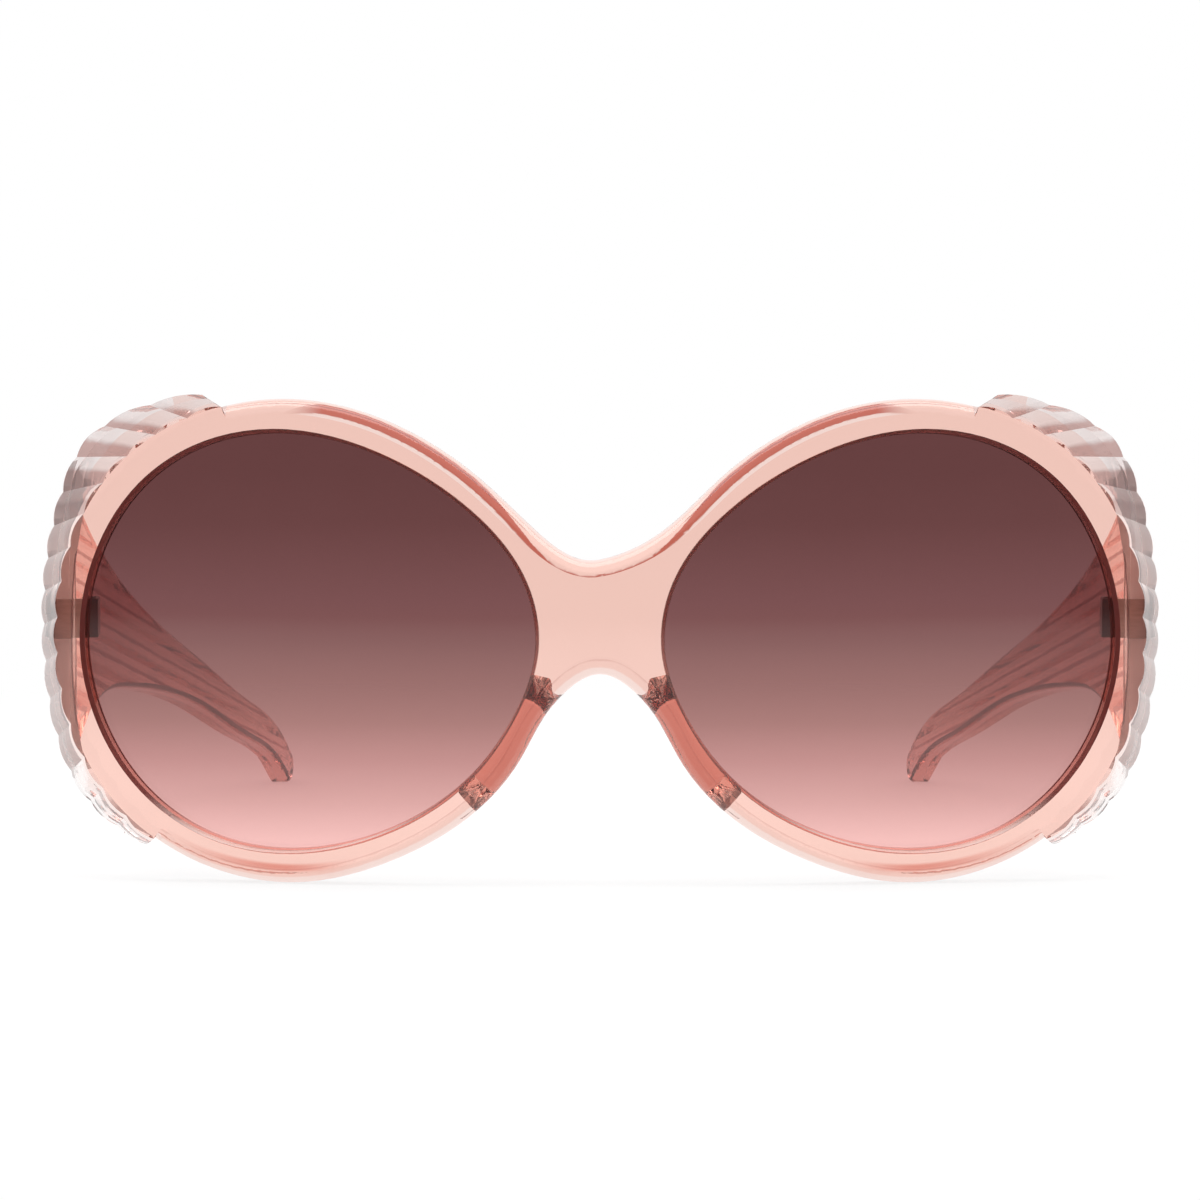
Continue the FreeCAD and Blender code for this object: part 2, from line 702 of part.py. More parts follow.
def rectangle(body, name, role, left, right, low, high):
    """A rectangle between two corners that are given as expressions."""
    sketch = sketch_on(body, name, role)
    x0, x1, y0, y1 = [sheet.evalExpression(side) for side in (left, right, low, high)]
    corners = [Vector(x0, y0), Vector(x1, y0), Vector(x1, y1), Vector(x0, y1)]
    for number in range(4):
        sketch.addGeometry(Part.LineSegment(corners[number], corners[(number + 1) % 4]))
    for number in range(4):
        sketch.addConstraint(Sketcher.Constraint("Coincident", number, 2, (number + 1) % 4, 1))
        sketch.addConstraint(Sketcher.Constraint(("Horizontal", "Vertical")[number % 2], number))
    place_point(sketch, 0, 1, "DistanceX", left)
    place_point(sketch, 0, 1, "DistanceY", low)
    place_point(sketch, 2, 1, "DistanceX", right)
    place_point(sketch, 2, 1, "DistanceY", high)
    return sketch


def circle(body, name, radius):
    """A circle about the pin."""
    sketch = sketch_on(body, name, "XY_Plane")
    sketch.addGeometry(Part.Circle(Vector(0, 0, 0), Vector(0, 0, 1), sheet.evalExpression(radius)))
    sketch.addConstraint(Sketcher.Constraint("Coincident", 0, 3, -1, 1))
    number = sketch.addConstraint(Sketcher.Constraint("Radius", 0, sheet.evalExpression(radius)))
    sketch.setExpression("Constraints[%d]" % number, radius)
    return sketch


def midplane(body, kind, name, sketch, length):
    """A pad or a pocket, half to each side of its sketch."""
    feature = body.newObject("PartDesign::" + kind, name)
    feature.Profile = sketch
    feature.Midplane = True
    feature.setExpression("Length", length)
    sketch.Visibility = False
    doc.recompute()
    return feature


def hinge_body(name, turn):
    body = doc.addObject("PartDesign::Body", name)
    body.Placement = FreeCAD.Placement(hinge_place, turn)
    return body


barrel_radius = "Sizes.barrel_diameter / 2"
bore_radius = "Sizes.screw_diameter / 2 + Sizes.screw_clearance"


def bore(body):
    """The hole for the screw, through every barrel."""
    bore_sketch = circle(body, body.Name + "_bore_circle", bore_radius)
    midplane(body, "Pocket", body.Name + "_bore", bore_sketch, "Sizes.leaf_height")


def front_leaf():
    """A plate in the back of the flank, with two barrels that stand behind it."""
    body = hinge_body("right_front_hinge_leaf", Rotation())
    plate_front = "-Sizes.hinge_setback - Sizes.leaf_thickness"
    plate_sketch = rectangle(
        body, "leaf_plate_outline", "XY_Plane",
        "-Sizes.barrel_diameter / 2", "Sizes.leaf_reach", plate_front, "-Sizes.hinge_setback",
    )
    midplane(body, "Pad", "leaf_plate", plate_sketch, "Sizes.leaf_height")
    web_sketch = rectangle(
        body, "leaf_web_outline", "XY_Plane",
        "-Sizes.barrel_diameter / 2", barrel_radius, "-Sizes.hinge_setback - Sizes.leaf_thickness / 2", "0",
    )
    midplane(body, "Pad", "leaf_web", web_sketch, "Sizes.barrel_length")
    barrel_sketch = circle(body, "leaf_barrel_circle", barrel_radius)
    midplane(body, "Pad", "leaf_barrels", barrel_sketch, "Sizes.barrel_length")
    gap_sketch = rectangle(
        body, "leaf_gap_outline", "XY_Plane",
        "-Sizes.barrel_diameter", "Sizes.barrel_diameter", "-Sizes.hinge_setback", "Sizes.barrel_diameter",
    )
    midplane(body, "Pocket", "leaf_gap", gap_sketch, "Sizes.middle_barrel + 2 * Sizes.barrel_gap")
    bore(body)
    return body


plate_inside = "Sizes.hinge_offset - Sizes.leaf_proud"
plate_outside = "Sizes.hinge_offset - Sizes.leaf_proud + Sizes.leaf_thickness"


def temple_leaf():
    """A plate in the inner face of the temple, with the middle barrel."""
    body = hinge_body("right_temple_hinge_leaf", temple_turn)
    plate_sketch = rectangle(
        body, "arm_plate_outline", "XY_Plane",
        plate_inside, plate_outside, "Sizes.leaf_start", "Sizes.leaf_length",
    )
    midplane(body, "Pad", "arm_plate", plate_sketch, "Sizes.barrel_length")
    web_sketch = rectangle(
        body, "arm_web_outline", "XY_Plane",
        "0", plate_outside, "0", "Sizes.leaf_start + Sizes.leaf_thickness",
    )
    midplane(body, "Pad", "arm_web", web_sketch, "Sizes.middle_barrel")
    barrel_sketch = circle(body, "arm_barrel_circle", barrel_radius)
    midplane(body, "Pad", "arm_barrel", barrel_sketch, "Sizes.middle_barrel")
    bore(body)
    return body


def hinge_screw():
    """A turned screw: a shank through the barrels and a slotted head on top."""
    body = hinge_body("right_hinge_screw", Rotation())
    shank_sketch = circle(body, "shank_circle", "Sizes.screw_diameter / 2")
    midplane(body, "Pad", "shank", shank_sketch, "Sizes.barrel_length")
    head_sketch = rectangle(
        body, "head_outline", "XZ_Plane", "0", "Sizes.screw_head_diameter / 2",
        "Sizes.barrel_length / 2", "Sizes.barrel_length / 2 + Sizes.screw_head_height",
    )
    head = body.newObject("PartDesign::Revolution", "head")
    head.Profile = head_sketch
    head.ReferenceAxis = (head_sketch, ["V_Axis"])
    head.Angle = 360
    doc.recompute()
    slot_low = "Sizes.barrel_length / 2 + Sizes.screw_head_height - Sizes.screw_slot_depth"
    slot_sketch = rectangle(
        body, "slot_outline", "XZ_Plane", "-Sizes.screw_slot_width / 2", "Sizes.screw_slot_width / 2",
        slot_low, slot_low + " + Sizes.screw_head_height",
    )
    midplane(body, "Pocket", "slot", slot_sketch, "2 * Sizes.screw_head_diameter")
    return body


right_front_leaf = front_leaf()
right_temple_leaf = temple_leaf()
right_screw = hinge_screw()

# Seats of the leaves in the plastic

clearance = size["seat_clearance"]


def seat(name, turn, low, high):
    """A block about the pin, from one corner to the other."""
    corner = hinge_place + turn.multVec(low)
    box = add("Part::Box", name, Length=high.x - low.x, Width=high.y - low.y, Height=high.z - low.z)
    box.Placement = FreeCAD.Placement(corner, turn)
    return box


front_seat_depth = size["hinge_setback"] + size["leaf_thickness"] + clearance
front_seat_half = size["leaf_height"] / 2 + clearance
front_seat = seat(
    "front_seat",
    Rotation(),
    Vector(0, -front_seat_depth, -front_seat_half),
    Vector(size["leaf_reach"] + clearance, 0, front_seat_half),
)
temple_seat = seat(
    "temple_seat",
    temple_turn,
    Vector(0, -2 * size["hinge_setback"], -size["barrel_length"] / 2 - clearance),
    Vector(
        size["hinge_offset"] - size["leaf_proud"] + size["leaf_thickness"] + clearance,
        size["leaf_length"] + clearance,
        size["barrel_length"] / 2 + clearance,
    ),
)

# The finished pieces

front_solid = fuse("front_solid", plate_middle, right_side, left_side, right_pad, left_pad)
front_tools = [
    ("opening", opening_plug),
    ("groove", right_groove),
    ("leaf_seat", front_seat),
]
front_frame = front_solid
for name, tool in front_tools:
    front_frame = cut("front_after_right_" + name, front_frame, tool)
    front_frame = cut("front_after_left_" + name, front_frame, mirrored("left_" + name, tool))
right_temple = cut("right_temple", temple_solid, temple_seat)

PIECES = {
    "front_frame": front_frame,
    "right_lens": right_lens,
    "left_lens": left_lens,
    "right_temple": right_temple,
    "left_temple": mirrored("left_temple", right_temple),
    "right_front_hinge_leaf": right_front_leaf,
    "left_front_hinge_leaf": mirrored("left_front_hinge_leaf", right_front_leaf),
    "right_temple_hinge_leaf": right_temple_leaf,
    "left_temple_hinge_leaf": mirrored("left_temple_hinge_leaf", right_temple_leaf),
    "right_hinge_screw": right_screw,
    "left_hinge_screw": mirrored("left_hinge_screw", right_screw),
}
doc.recompute()

# Every object has to be sound before anything is written

for thing in doc.Objects:
    if "Invalid" in thing.State or "Error" in thing.State:
        raise RuntimeError("%s failed: %s" % (thing.Name, thing.State))

os.makedirs("parts", exist_ok=True)
for node, piece in PIECES.items():
    piece.Label = node
    if piece.Shape.isNull() or not piece.Shape.isValid():
        raise RuntimeError("%s has no sound shape" % node)
    if len(piece.Shape.Solids) != 1:
        raise RuntimeError("%s is %d solids" % (node, len(piece.Shape.Solids)))
for node, piece in PIECES.items():
    piece.Shape.exportStep("parts/%s.step" % node)
    print("%s: %.1f mm3, %d faces" % (node, piece.Shape.Volume, len(piece.Shape.Faces)))
print("hinge pin at x %.3f, y %.3f, z %.3f" % (hinge_place.x, hinge_place.y, hinge_place.z))
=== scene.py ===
# %% [markdown]
# # Oversized sunglasses in clear pink plastic
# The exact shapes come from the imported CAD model, which is loaded first and never changed.
# This lesson gives them the looks: a camera where the picture was taken from, a white sweep with
# soft light, and the finishes of polished plastic, graded lens and small metal hinges.

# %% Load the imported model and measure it
import math

import bpy
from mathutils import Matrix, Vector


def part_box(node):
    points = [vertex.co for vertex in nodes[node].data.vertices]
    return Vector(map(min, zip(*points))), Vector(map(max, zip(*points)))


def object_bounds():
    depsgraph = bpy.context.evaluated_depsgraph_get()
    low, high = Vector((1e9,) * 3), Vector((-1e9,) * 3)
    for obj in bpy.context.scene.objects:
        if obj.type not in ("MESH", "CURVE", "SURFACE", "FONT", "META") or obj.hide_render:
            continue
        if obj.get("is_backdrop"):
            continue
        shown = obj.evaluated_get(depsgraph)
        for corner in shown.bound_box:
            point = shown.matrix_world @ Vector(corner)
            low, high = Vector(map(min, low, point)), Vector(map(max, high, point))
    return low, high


MM_PER_METRE = 1000

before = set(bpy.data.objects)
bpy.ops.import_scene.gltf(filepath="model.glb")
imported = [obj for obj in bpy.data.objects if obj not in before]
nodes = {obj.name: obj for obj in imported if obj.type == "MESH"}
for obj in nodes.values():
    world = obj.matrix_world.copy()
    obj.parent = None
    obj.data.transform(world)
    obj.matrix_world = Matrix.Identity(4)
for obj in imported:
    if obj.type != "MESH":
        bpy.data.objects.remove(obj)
cad_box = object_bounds()
scene = bpy.context.scene
cad_sides = [round(length * MM_PER_METRE, 1) for length in cad_box[1] - cad_box[0]]
print("loaded", len(nodes), "pieces, size in mm:", cad_sides)

# %% [markdown]
# The picture was taken from straight in front with a long lens, half a metre away, with the camera
# level with the brow and tilted slightly down. A camera can be aimed with a constraint or by hand.
# Here its tilt is worked out from the height of the horizon in the picture, and it is turned in no
# other way, so nothing leans to one side.

# %% Camera
IMAGE_PIXELS = 1200
FOCAL_PIXELS = 3855
HORIZON_PIXEL = 406
SENSOR_WIDTH = 36.0
CAMERA_DISTANCE = 0.5
CAMERA_HEIGHT = 0.0628
NEAREST_SEEN = 0.01
FARTHEST_SEEN = 50.0

camera_data = bpy.data.cameras.new("studio_camera")
camera = bpy.data.objects.new("studio_camera", camera_data)
scene.collection.objects.link(camera)
camera_data.sensor_width = SENSOR_WIDTH
camera_data.lens = FOCAL_PIXELS / IMAGE_PIXELS * SENSOR_WIDTH
camera_data.clip_start = NEAREST_SEEN
camera_data.clip_end = FARTHEST_SEEN
tilt = math.atan((IMAGE_PIXELS / 2 - HORIZON_PIXEL) / FOCAL_PIXELS)
camera.location = (0, cad_box[0].y - CAMERA_DISTANCE, CAMERA_HEIGHT)
camera.rotation_euler = (math.pi / 2 - tilt, 0, 0)
scene.camera = camera
print("camera lens", round(camera_data.lens, 1), "mm, tilt", round(math.degrees(tilt), 2), "degrees")

# %% [markdown]
# A shader is a network of nodes, and sums on it are easier to read as Python sums. This class
# wraps one socket: plus, minus, times, divide and abs add a Math node each, and one method adds
# any other node with its settings and inputs.


# %% A socket that can be used in sums
class Signal:
    def __init__(self, tree, socket=None):
        self.tree = tree
        self.socket = socket

    def node(self, kind, settings=None, inputs=None, output=0):
        made = self.tree.nodes.new(kind)
        for name, value in (settings or {}).items():
            if name == "stops":
                ramp = made.color_ramp
                while len(ramp.elements) < len(value):
                    ramp.elements.new(1.0)
                for element, (place, colour) in zip(ramp.elements, value):
                    element.position = place
                    element.color = colour
            else:
                setattr(made, name, value)
        for name, value in (inputs or {}).items():
            if isinstance(value, Signal):
                self.tree.links.new(value.socket, made.inputs[name])
            else:
                made.inputs[name].default_value = value
        return Signal(self.tree, made.outputs[output])

    def math(self, operation, first, second=0.0):
        return self.node("ShaderNodeMath", {"operation": operation}, {0: first, 1: second})

    def __add__(self, other):
        return self.math("ADD", self, other)

    def __radd__(self, other):
        return self.math("ADD", other, self)

    def __sub__(self, other):
        return self.math("SUBTRACT", self, other)

    def __rsub__(self, other):
        return self.math("SUBTRACT", other, self)

    def __mul__(self, other):
        return self.math("MULTIPLY", self, other)

    def __rmul__(self, other):
        return self.math("MULTIPLY", other, self)

    def __truediv__(self, other):
        return self.math("DIVIDE", self, other)

    def __rtruediv__(self, other):
        return self.math("DIVIDE", other, self)

    def __abs__(self):
        return self.math("ABSOLUTE", self)


print("sums can be written on", Signal.__name__, "objects")

# %% [markdown]
# Every finish below starts with an empty material, lays colours over one another, gives its marks
# soft edges and ends at the material's output. Each could be wired by hand in the shader editor.
# Four helpers do these steps, so that the cells show only what differs. The Mix node has several
# sockets of one name, so its colour sockets are given by number.

# %% Helpers for materials
MIX_FIRST = 6
MIX_SECOND = 7
MIX_RESULT = 2


def new_material(name):
    """An empty material, and a signal to start its nodes from."""
    material = bpy.data.materials.new(name)
    material.use_nodes = True
    material.node_tree.nodes.clear()
    return material, Signal(material.node_tree)


def mix_colour(start, factor, first, second):
    """A colour between two colours, by a factor that varies over the surface."""
    inputs = {"Factor": factor, MIX_FIRST: first, MIX_SECOND: second}
    return start.node("ShaderNodeMix", {"data_type": "RGBA"}, inputs, output=MIX_RESULT)


def soft_step(start, value, low, high):
    """Changes smoothly from 0 at low to 1 at high, which may also be the smaller one."""
    return start.node("ShaderNodeMapRange", {"interpolation_type": "SMOOTHSTEP"}, {
        "Value": value, "From Min": low, "From Max": high,
    })


def finish_material(start, shader, volume=None):
    """Joins a shader, and the volume of a clear piece, to the material's output."""
    inputs = {"Surface": shader}
    if volume is not None:
        inputs["Volume"] = volume
    output = start.tree.nodes.new("ShaderNodeOutputMaterial")
    for name, signal in inputs.items():
        start.tree.links.new(signal.socket, output.inputs[name])


print("colours are mixed from sockets", MIX_FIRST, "and", MIX_SECOND)

# %% [markdown]
# The object stands on a white sweep: a floor that has no edge in the picture. A plain plane would
# do, but the camera has to see pure white with only a faint shadow. So the floor glows where it is
# seen by the camera, in a reflection or through the plastic, a little less near the object, and it
# stays an ordinary white surface for the light that falls on it. Far in front, where the room is
# darker, it is dim in reflections.

# %% White floor
FLOOR_SIZE = 6.0
FLOOR_WHITE = (0.9, 0.9, 0.9, 1)
NEAR_GLOW = 0.8
SHADOW_RADIUS = 0.12
SWEEP_RADIUS = 0.30
FRONT_LIGHT = 0.25
TENT_FRONT = -0.25
ROOM_FRONT = -1.2
WHITE = (1, 1, 1, 1)
DIM = (FRONT_LIGHT, FRONT_LIGHT, FRONT_LIGHT, 1)


def ray_kinds(start):
    """Whether the camera, a reflection or a view through something clear is looking."""
    outputs = start.node("ShaderNodeLightPath").socket.node.outputs
    names = ("Is Camera Ray", "Is Glossy Ray", "Is Transmission Ray")
    return [Signal(start.tree, outputs[name]) for name in names]


bpy.ops.object.select_all(action="DESELECT")
bpy.ops.mesh.primitive_plane_add(size=FLOOR_SIZE, location=(0, 0, 0))
floor = bpy.context.object
floor.name = "white_floor"
floor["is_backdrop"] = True

floor_paint, start = new_material("white_sweep")
by_camera, by_reflection, through_clear = ray_kinds(start)
seen = start.math("MINIMUM", by_camera + by_reflection + through_clear, 1.0)
matt_white = start.node("ShaderNodeBsdfDiffuse", None, {"Color": FLOOR_WHITE})
place = start.node("ShaderNodeTexCoord", output="Object")
backward = start.node("ShaderNodeSeparateXYZ", None, {"Vector": place}, output="Y")
into_room = soft_step(start, backward, TENT_FRONT, ROOM_FRONT)
dimming = mix_colour(start, by_reflection * into_room, WHITE, DIM)
glow = start.node("ShaderNodeEmission", None, {"Color": dimming})
distance = start.node("ShaderNodeVectorMath", {"operation": "LENGTH"}, {0: place}, output="Value")
spread = NEAR_GLOW + soft_step(start, distance, SHADOW_RADIUS, SWEEP_RADIUS) * (1.0 - NEAR_GLOW)
mixed = start.node("ShaderNodeMixShader", None, {0: seen * spread, 1: matt_white, 2: glow})
finish_material(start, mixed)
floor.data.materials.append(floor_paint)
print("floor", FLOOR_SIZE, "m wide, glow near the object", NEAR_GLOW)

# %% [markdown]
# Studio light for clear plastic is mostly white surroundings: what is behind and above the object
# is what is seen in it. It stands in a light tent that is open towards the camera, so the world is
# white behind, above and beside it and dim in front, which leaves the lenses dark. One broad lamp
# overhead draws the bright lines along the brow.

# %% World and lamp
WORLD_LIGHT = 0.95
TENT_EDGE = -0.85
TENT_FULL = -0.75
LAMP_WIDTH = 1.4
LAMP_DEPTH = 0.3
LAMP_POWER = 4.0
LAMP_PLACE = (0, -0.05, 0.55)

world = bpy.data.worlds.new("studio_world")
scene.world = world
world.use_nodes = True
world.node_tree.nodes.clear()
start = Signal(world.node_tree)
by_camera, by_reflection, through_clear = ray_kinds(start)
seen = start.math("MINIMUM", by_camera + by_reflection + through_clear, 1.0)
direction = start.node("ShaderNodeTexCoord", output="Generated")
backward = start.node("ShaderNodeSeparateXYZ", None, {"Vector": direction}, output="Y")
tent = soft_step(start, backward, TENT_EDGE, TENT_FULL)
falling = mix_colour(start, seen, (WORLD_LIGHT, WORLD_LIGHT, WORLD_LIGHT, 1), WHITE)
background = start.node("ShaderNodeBackground", None, {"Color": mix_colour(start, tent, DIM, falling)})
world_output = start.tree.nodes.new("ShaderNodeOutputWorld")
start.tree.links.new(background.socket, world_output.inputs["Surface"])

lamp_data = bpy.data.lights.new("overhead_softbox", "AREA")
lamp_data.shape = "RECTANGLE"
lamp_data.size = LAMP_WIDTH
lamp_data.size_y = LAMP_DEPTH
lamp_data.energy = LAMP_POWER
lamp = bpy.data.objects.new("overhead_softbox", lamp_data)
scene.collection.objects.link(lamp)
lamp.location = LAMP_PLACE
print("world light", WORLD_LIGHT, "and a lamp of", LAMP_POWER, "W")

# %% [markdown]
# The front, its fluted flanks and the temples are one kind of clear plastic, but light shows
# different things in each place, and most of these are painted into its colour as light and shade.
# The places are told apart by position and by the direction of the surface, so no painting by hand is
# needed and the marks stay where they are in every view. Clear plastic is also seen from inside,
# where normals are turned round, so they are turned back.

# %% Places and directions on the plastic
lens_low, lens_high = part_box("right_lens")
lens_middle = (lens_low + lens_high) / 2
lens_half = (lens_high - lens_low) / 2
joint_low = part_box("front_frame")[1].y

plastic, start = new_material("crystal_plastic")
place = start.node("ShaderNodeTexCoord", output="Object")
surface_normal = start.node("ShaderNodeTexCoord", output="Normal")
across, backward, height = [
    start.node("ShaderNodeSeparateXYZ", None, {"Vector": place}, output=axis) for axis in "XYZ"
]
seen_from_inside = start.node("ShaderNodeNewGeometry", output="Backfacing")
outward = 1.0 - 2.0 * seen_from_inside
normal_across, normal_up = [
    outward * start.node("ShaderNodeSeparateXYZ", None, {"Vector": surface_normal}, output=axis)
    for axis in "XZ"
]
sideways = abs(across)
on_front = start.math("LESS_THAN", backward, joint_low)
on_temple = 1.0 - on_front
print("lens half sizes in mm:", [round(lens_half[axis] * MM_PER_METRE, 1) for axis in (0, 2)])

# %% [markdown]
# The face of the front lies on a large ball. How deep a point lies behind that ball tells the rims
# from what stands behind them. The angle between the ball and the surface, which is called turn
# here, tells broad faces from roundings and walls. It counts the same on both faces, so the plastic
# has the same colours from the front and from behind.

# %% Depth and turn from the wrapped face
WRAP_RADIUS = 0.3

wrap_centre = (0, cad_box[0].y + WRAP_RADIUS, lens_middle.z)
from_centre = start.node("ShaderNodeVectorMath", {"operation": "SUBTRACT"}, {0: place, 1: wrap_centre})
reach = start.node("ShaderNodeVectorMath", {"operation": "LENGTH"}, {0: from_centre}, output="Value")
depth = WRAP_RADIUS - reach
wrap_normal = start.node("ShaderNodeVectorMath", {"operation": "NORMALIZE"}, {0: from_centre})
agreement = start.node("ShaderNodeVectorMath", {"operation": "DOT_PRODUCT"}, {
    0: wrap_normal, 1: surface_normal,
}, output="Value")
turn = start.math("ARCCOSINE", start.math("MINIMUM", abs(agreement), 1.0))
print("front wrapped on a ball of", WRAP_RADIUS * MM_PER_METRE, "mm")

# %% [markdown]
# The rounded edge of a clear moulding shows a deeper band, because light runs along the rim inside
# it before it leaves there. The band could be left to the volume alone, but a picture would need
# far longer light paths for it. Here it is a painted tint, placed by turn, so it lies only on the
# roundings. A pale line, a painted highlight, runs along its inner side, where the rounding starts.

# %% Band along the brow
BAND_START = math.radians(10)
BAND_END = math.radians(56)
THIN_BAND_START = math.radians(2)
THIN_BAND_END = math.radians(10)
BAND_SOFTNESS = math.radians(4)
PALE_START = math.radians(0.3)
PALE_FULL = math.radians(1.5)
BRIDGE_HALF = 0.006
BROW_FULL = 0.016
BROW_FADE = 0.036
BROW_END = 0.042
LOW_BAND = 0.35

above = start.math("GREATER_THAN", height, lens_middle.z)
before_flutes = soft_step(start, sideways, BROW_END, BROW_FADE)
brow = above * before_flutes * soft_step(start, sideways, BRIDGE_HALF, BROW_FULL)
band_start = THIN_BAND_START + brow * (BAND_START - THIN_BAND_START)
band_end = THIN_BAND_END + brow * (BAND_END - THIN_BAND_END)
rise = soft_step(start, turn - band_start, 0.0, BAND_SOFTNESS)
fall = soft_step(start, band_end - turn, 0.0, BAND_SOFTNESS)
off_flutes = 1.0 - above * (1.0 - before_flutes)
strength = LOW_BAND + above * (1.0 - LOW_BAND)
band = rise * fall * on_front * off_flutes * strength
# A painted highlight: the face's pink is left off where the rounding starts.
highlight_line = soft_step(start, turn, PALE_START, PALE_FULL) * (1.0 - rise) * brow
print("band from", round(math.degrees(BAND_START)), "to", round(math.degrees(BAND_END)), "degrees")

# %% [markdown]
# The wall of each opening is seen edge on, and the light that reaches it has come a long way inside
# the rim, so it shows as a dark red line round the lens, which is painted on as shade. It is found
# by its direction: square to the face and turned towards the middle of the lens. Below the lens the
# wall faces up to the light, so it is painted much paler there.

# %% Painted red shade round the lenses
PLATE_DEPTH = 0.0055
WALL_TURN = math.radians(50)
WALL_SQUARE = math.radians(70)
OUTLINE_SPARE = 1.1
LOW_WALL_START = 0.008
LOW_WALL_FULL = 0.0015

side = start.math("SIGN", across)
to_lens_across = side * lens_middle.x - across
to_lens_up = lens_middle.z - height
facing = start.math("GREATER_THAN", normal_across * to_lens_across + normal_up * to_lens_up, 0.0)
share_across = to_lens_across / lens_half.x
share_up = to_lens_up / lens_half.z
radius_share = start.math("SQRT", share_across * share_across + share_up * share_up)
near_lens = start.math("LESS_THAN", radius_share, OUTLINE_SPARE)
in_plate = on_front * start.math("LESS_THAN", depth, PLATE_DEPTH)
square_to_face = soft_step(start, turn, WALL_TURN, WALL_SQUARE)
# The walls found here are painted a dark red shade, and the lower one, which faces up, is painted paler
# as lit.
opening_wall = square_to_face * facing * near_lens * in_plate
lit_low_wall = soft_step(start, height, lens_low.z + LOW_WALL_START, lens_low.z + LOW_WALL_FULL)
print("opening walls marked down to", PLATE_DEPTH * MM_PER_METRE, "mm")

# %% [markdown]
# The lower rim gathers light too. It shows as a salmon crescent half-way across the rim, longest on
# the outer side, and outside it the rounded edge is paler than the face: it is thin and clear there,
# and a highlight is painted along it. The crescent could be modelled as a crease, but it is only
# light, so it is a painted tint that follows the lens, whose outline is close to an ellipse that
# leans outwards.

# %% Lower rim
OUTLINE_MEAN = 0.995
OUTLINE_LEAN = 0.07
LEAN_END = 0.5
CRESCENT_INNER = 0.0013
CRESCENT_OUTER = 0.0021
CRESCENT_SOFTNESS = 0.0004
CRESCENT_NASAL = -0.25
CRESCENT_MIDDLE = 0.12
CRESCENT_OUTSIDE = 0.68
RIM_PALE_START = math.radians(26)
RIM_PALE_FULL = math.radians(36)

outer_share = -1.0 * side * share_across
lean_out = start.math("MINIMUM", start.math("MAXIMUM", outer_share, -LEAN_END), LEAN_END)
rim_place = (radius_share - OUTLINE_MEAN - OUTLINE_LEAN * lean_out) * lens_half.z
across_rim = soft_step(start, rim_place, CRESCENT_INNER, CRESCENT_INNER + CRESCENT_SOFTNESS)
across_rim = across_rim * soft_step(start, rim_place, CRESCENT_OUTER + CRESCENT_SOFTNESS, CRESCENT_OUTER)
along_rim = soft_step(start, outer_share, CRESCENT_NASAL, CRESCENT_MIDDLE)
along_rim = along_rim * soft_step(start, outer_share, CRESCENT_OUTSIDE, CRESCENT_MIDDLE)
low_rim = in_plate * (1.0 - above)
crescent = low_rim * across_rim * along_rim
# A painted highlight along the rounded edge, which also leaves the thin edge clearer.
highlight_and_clear_rim = low_rim * soft_step(start, turn, RIM_PALE_START, RIM_PALE_FULL)
crescent_places = [round(place_out * MM_PER_METRE, 1) for place_out in (CRESCENT_INNER, CRESCENT_OUTER)]
print("crescent from", crescent_places[0], "to", crescent_places[1], "mm outside the lens")

# %% [markdown]
# The fluted flanks are thin and almost clear. What tells one flute from the next is the fine dark
# line at each notch, and on the upper flutes also a grey cast and a brown slope on the side that
# turns away from the brow. These are painted on: painted shade in the notches and on that slope, and
# the grey cast as a painted reflection of the darker surroundings. The shape of the flutes is in the
# CAD model. Their marks are found by how far the surface leans round the lens from the straight way
# out.

# %% Painted shade and reflection on the flank's flutes
FLANK_TURN = math.radians(15)
FLANK_FULL = math.radians(25)
FIRST_FLUTE = 0.049
LAST_FLUTE = 0.058
SLOPE_START = 0.03
SLOPE_FULL = 0.16
NOTCH_START = 0.33
NOTCH_FULL = 0.40
SHADE_START = 0.012
SHADE_FULL = 0.020

distance_out = start.math("SQRT", to_lens_across * to_lens_across + to_lens_up * to_lens_up)
lean_round = side * (normal_up * to_lens_across - normal_across * to_lens_up) / distance_out
beside = start.math("GREATER_THAN", sideways, LAST_FLUTE - above * (LAST_FLUTE - FIRST_FLUTE))
flank = on_front * beside * soft_step(start, turn, FLANK_TURN, FLANK_FULL) * (1.0 - facing)
shade = soft_step(start, height, lens_middle.z + SHADE_START, lens_middle.z + SHADE_FULL)
upper_flank = flank * shade
# Painted shade on the slope that turns away from the brow, and in each notch.
slope_shade = upper_flank * soft_step(start, lean_round, SLOPE_START, SLOPE_FULL)
notch_shade = flank * soft_step(start, abs(lean_round), NOTCH_START, NOTCH_FULL)
print("flank marked beyond", round(math.degrees(FLANK_TURN)), "degrees")

# %% [markdown]
# The nose pads are moulded with the rim and stand behind it, so the front view looks through their
# whole height and they show as a deeper red. The volume alone would need a denser dye, which would
# darken the rims too, so the pads get a tint of their own.

# %% Nose pads
PAD_DEPTH = 0.0045
PAD_REACH = 0.026

pads = on_front * start.math("GREATER_THAN", depth, PAD_DEPTH)
pads = pads * start.math("LESS_THAN", sideways, PAD_REACH) * (1.0 - above)
print("nose pads within", PAD_REACH * MM_PER_METRE, "mm of the middle")

# %% [markdown]
# On a flute of the arm, painted shade darkens the lower slope, and a fine red line of refraction is
# painted on the upper one. Down the arms this draws stripes that run together towards the tip. They
# could be drawn with a wave texture, but that would not follow the fan. So the slopes are found by
# how far the surface leans up or down, measured against the steepest lean that a flute has there.

# %% Painted shade and refraction lines along the temples' flutes
JOINT_LEAN = 0.43
TIP_LEAN = 0.33
STRIPE_START = 0.44
STRIPE_FULL = 0.52
LINE_MIDDLE = 0.30
LINE_HALF = 0.16
LINE_CORE = 0.08
OUTER_FACE = 0.6

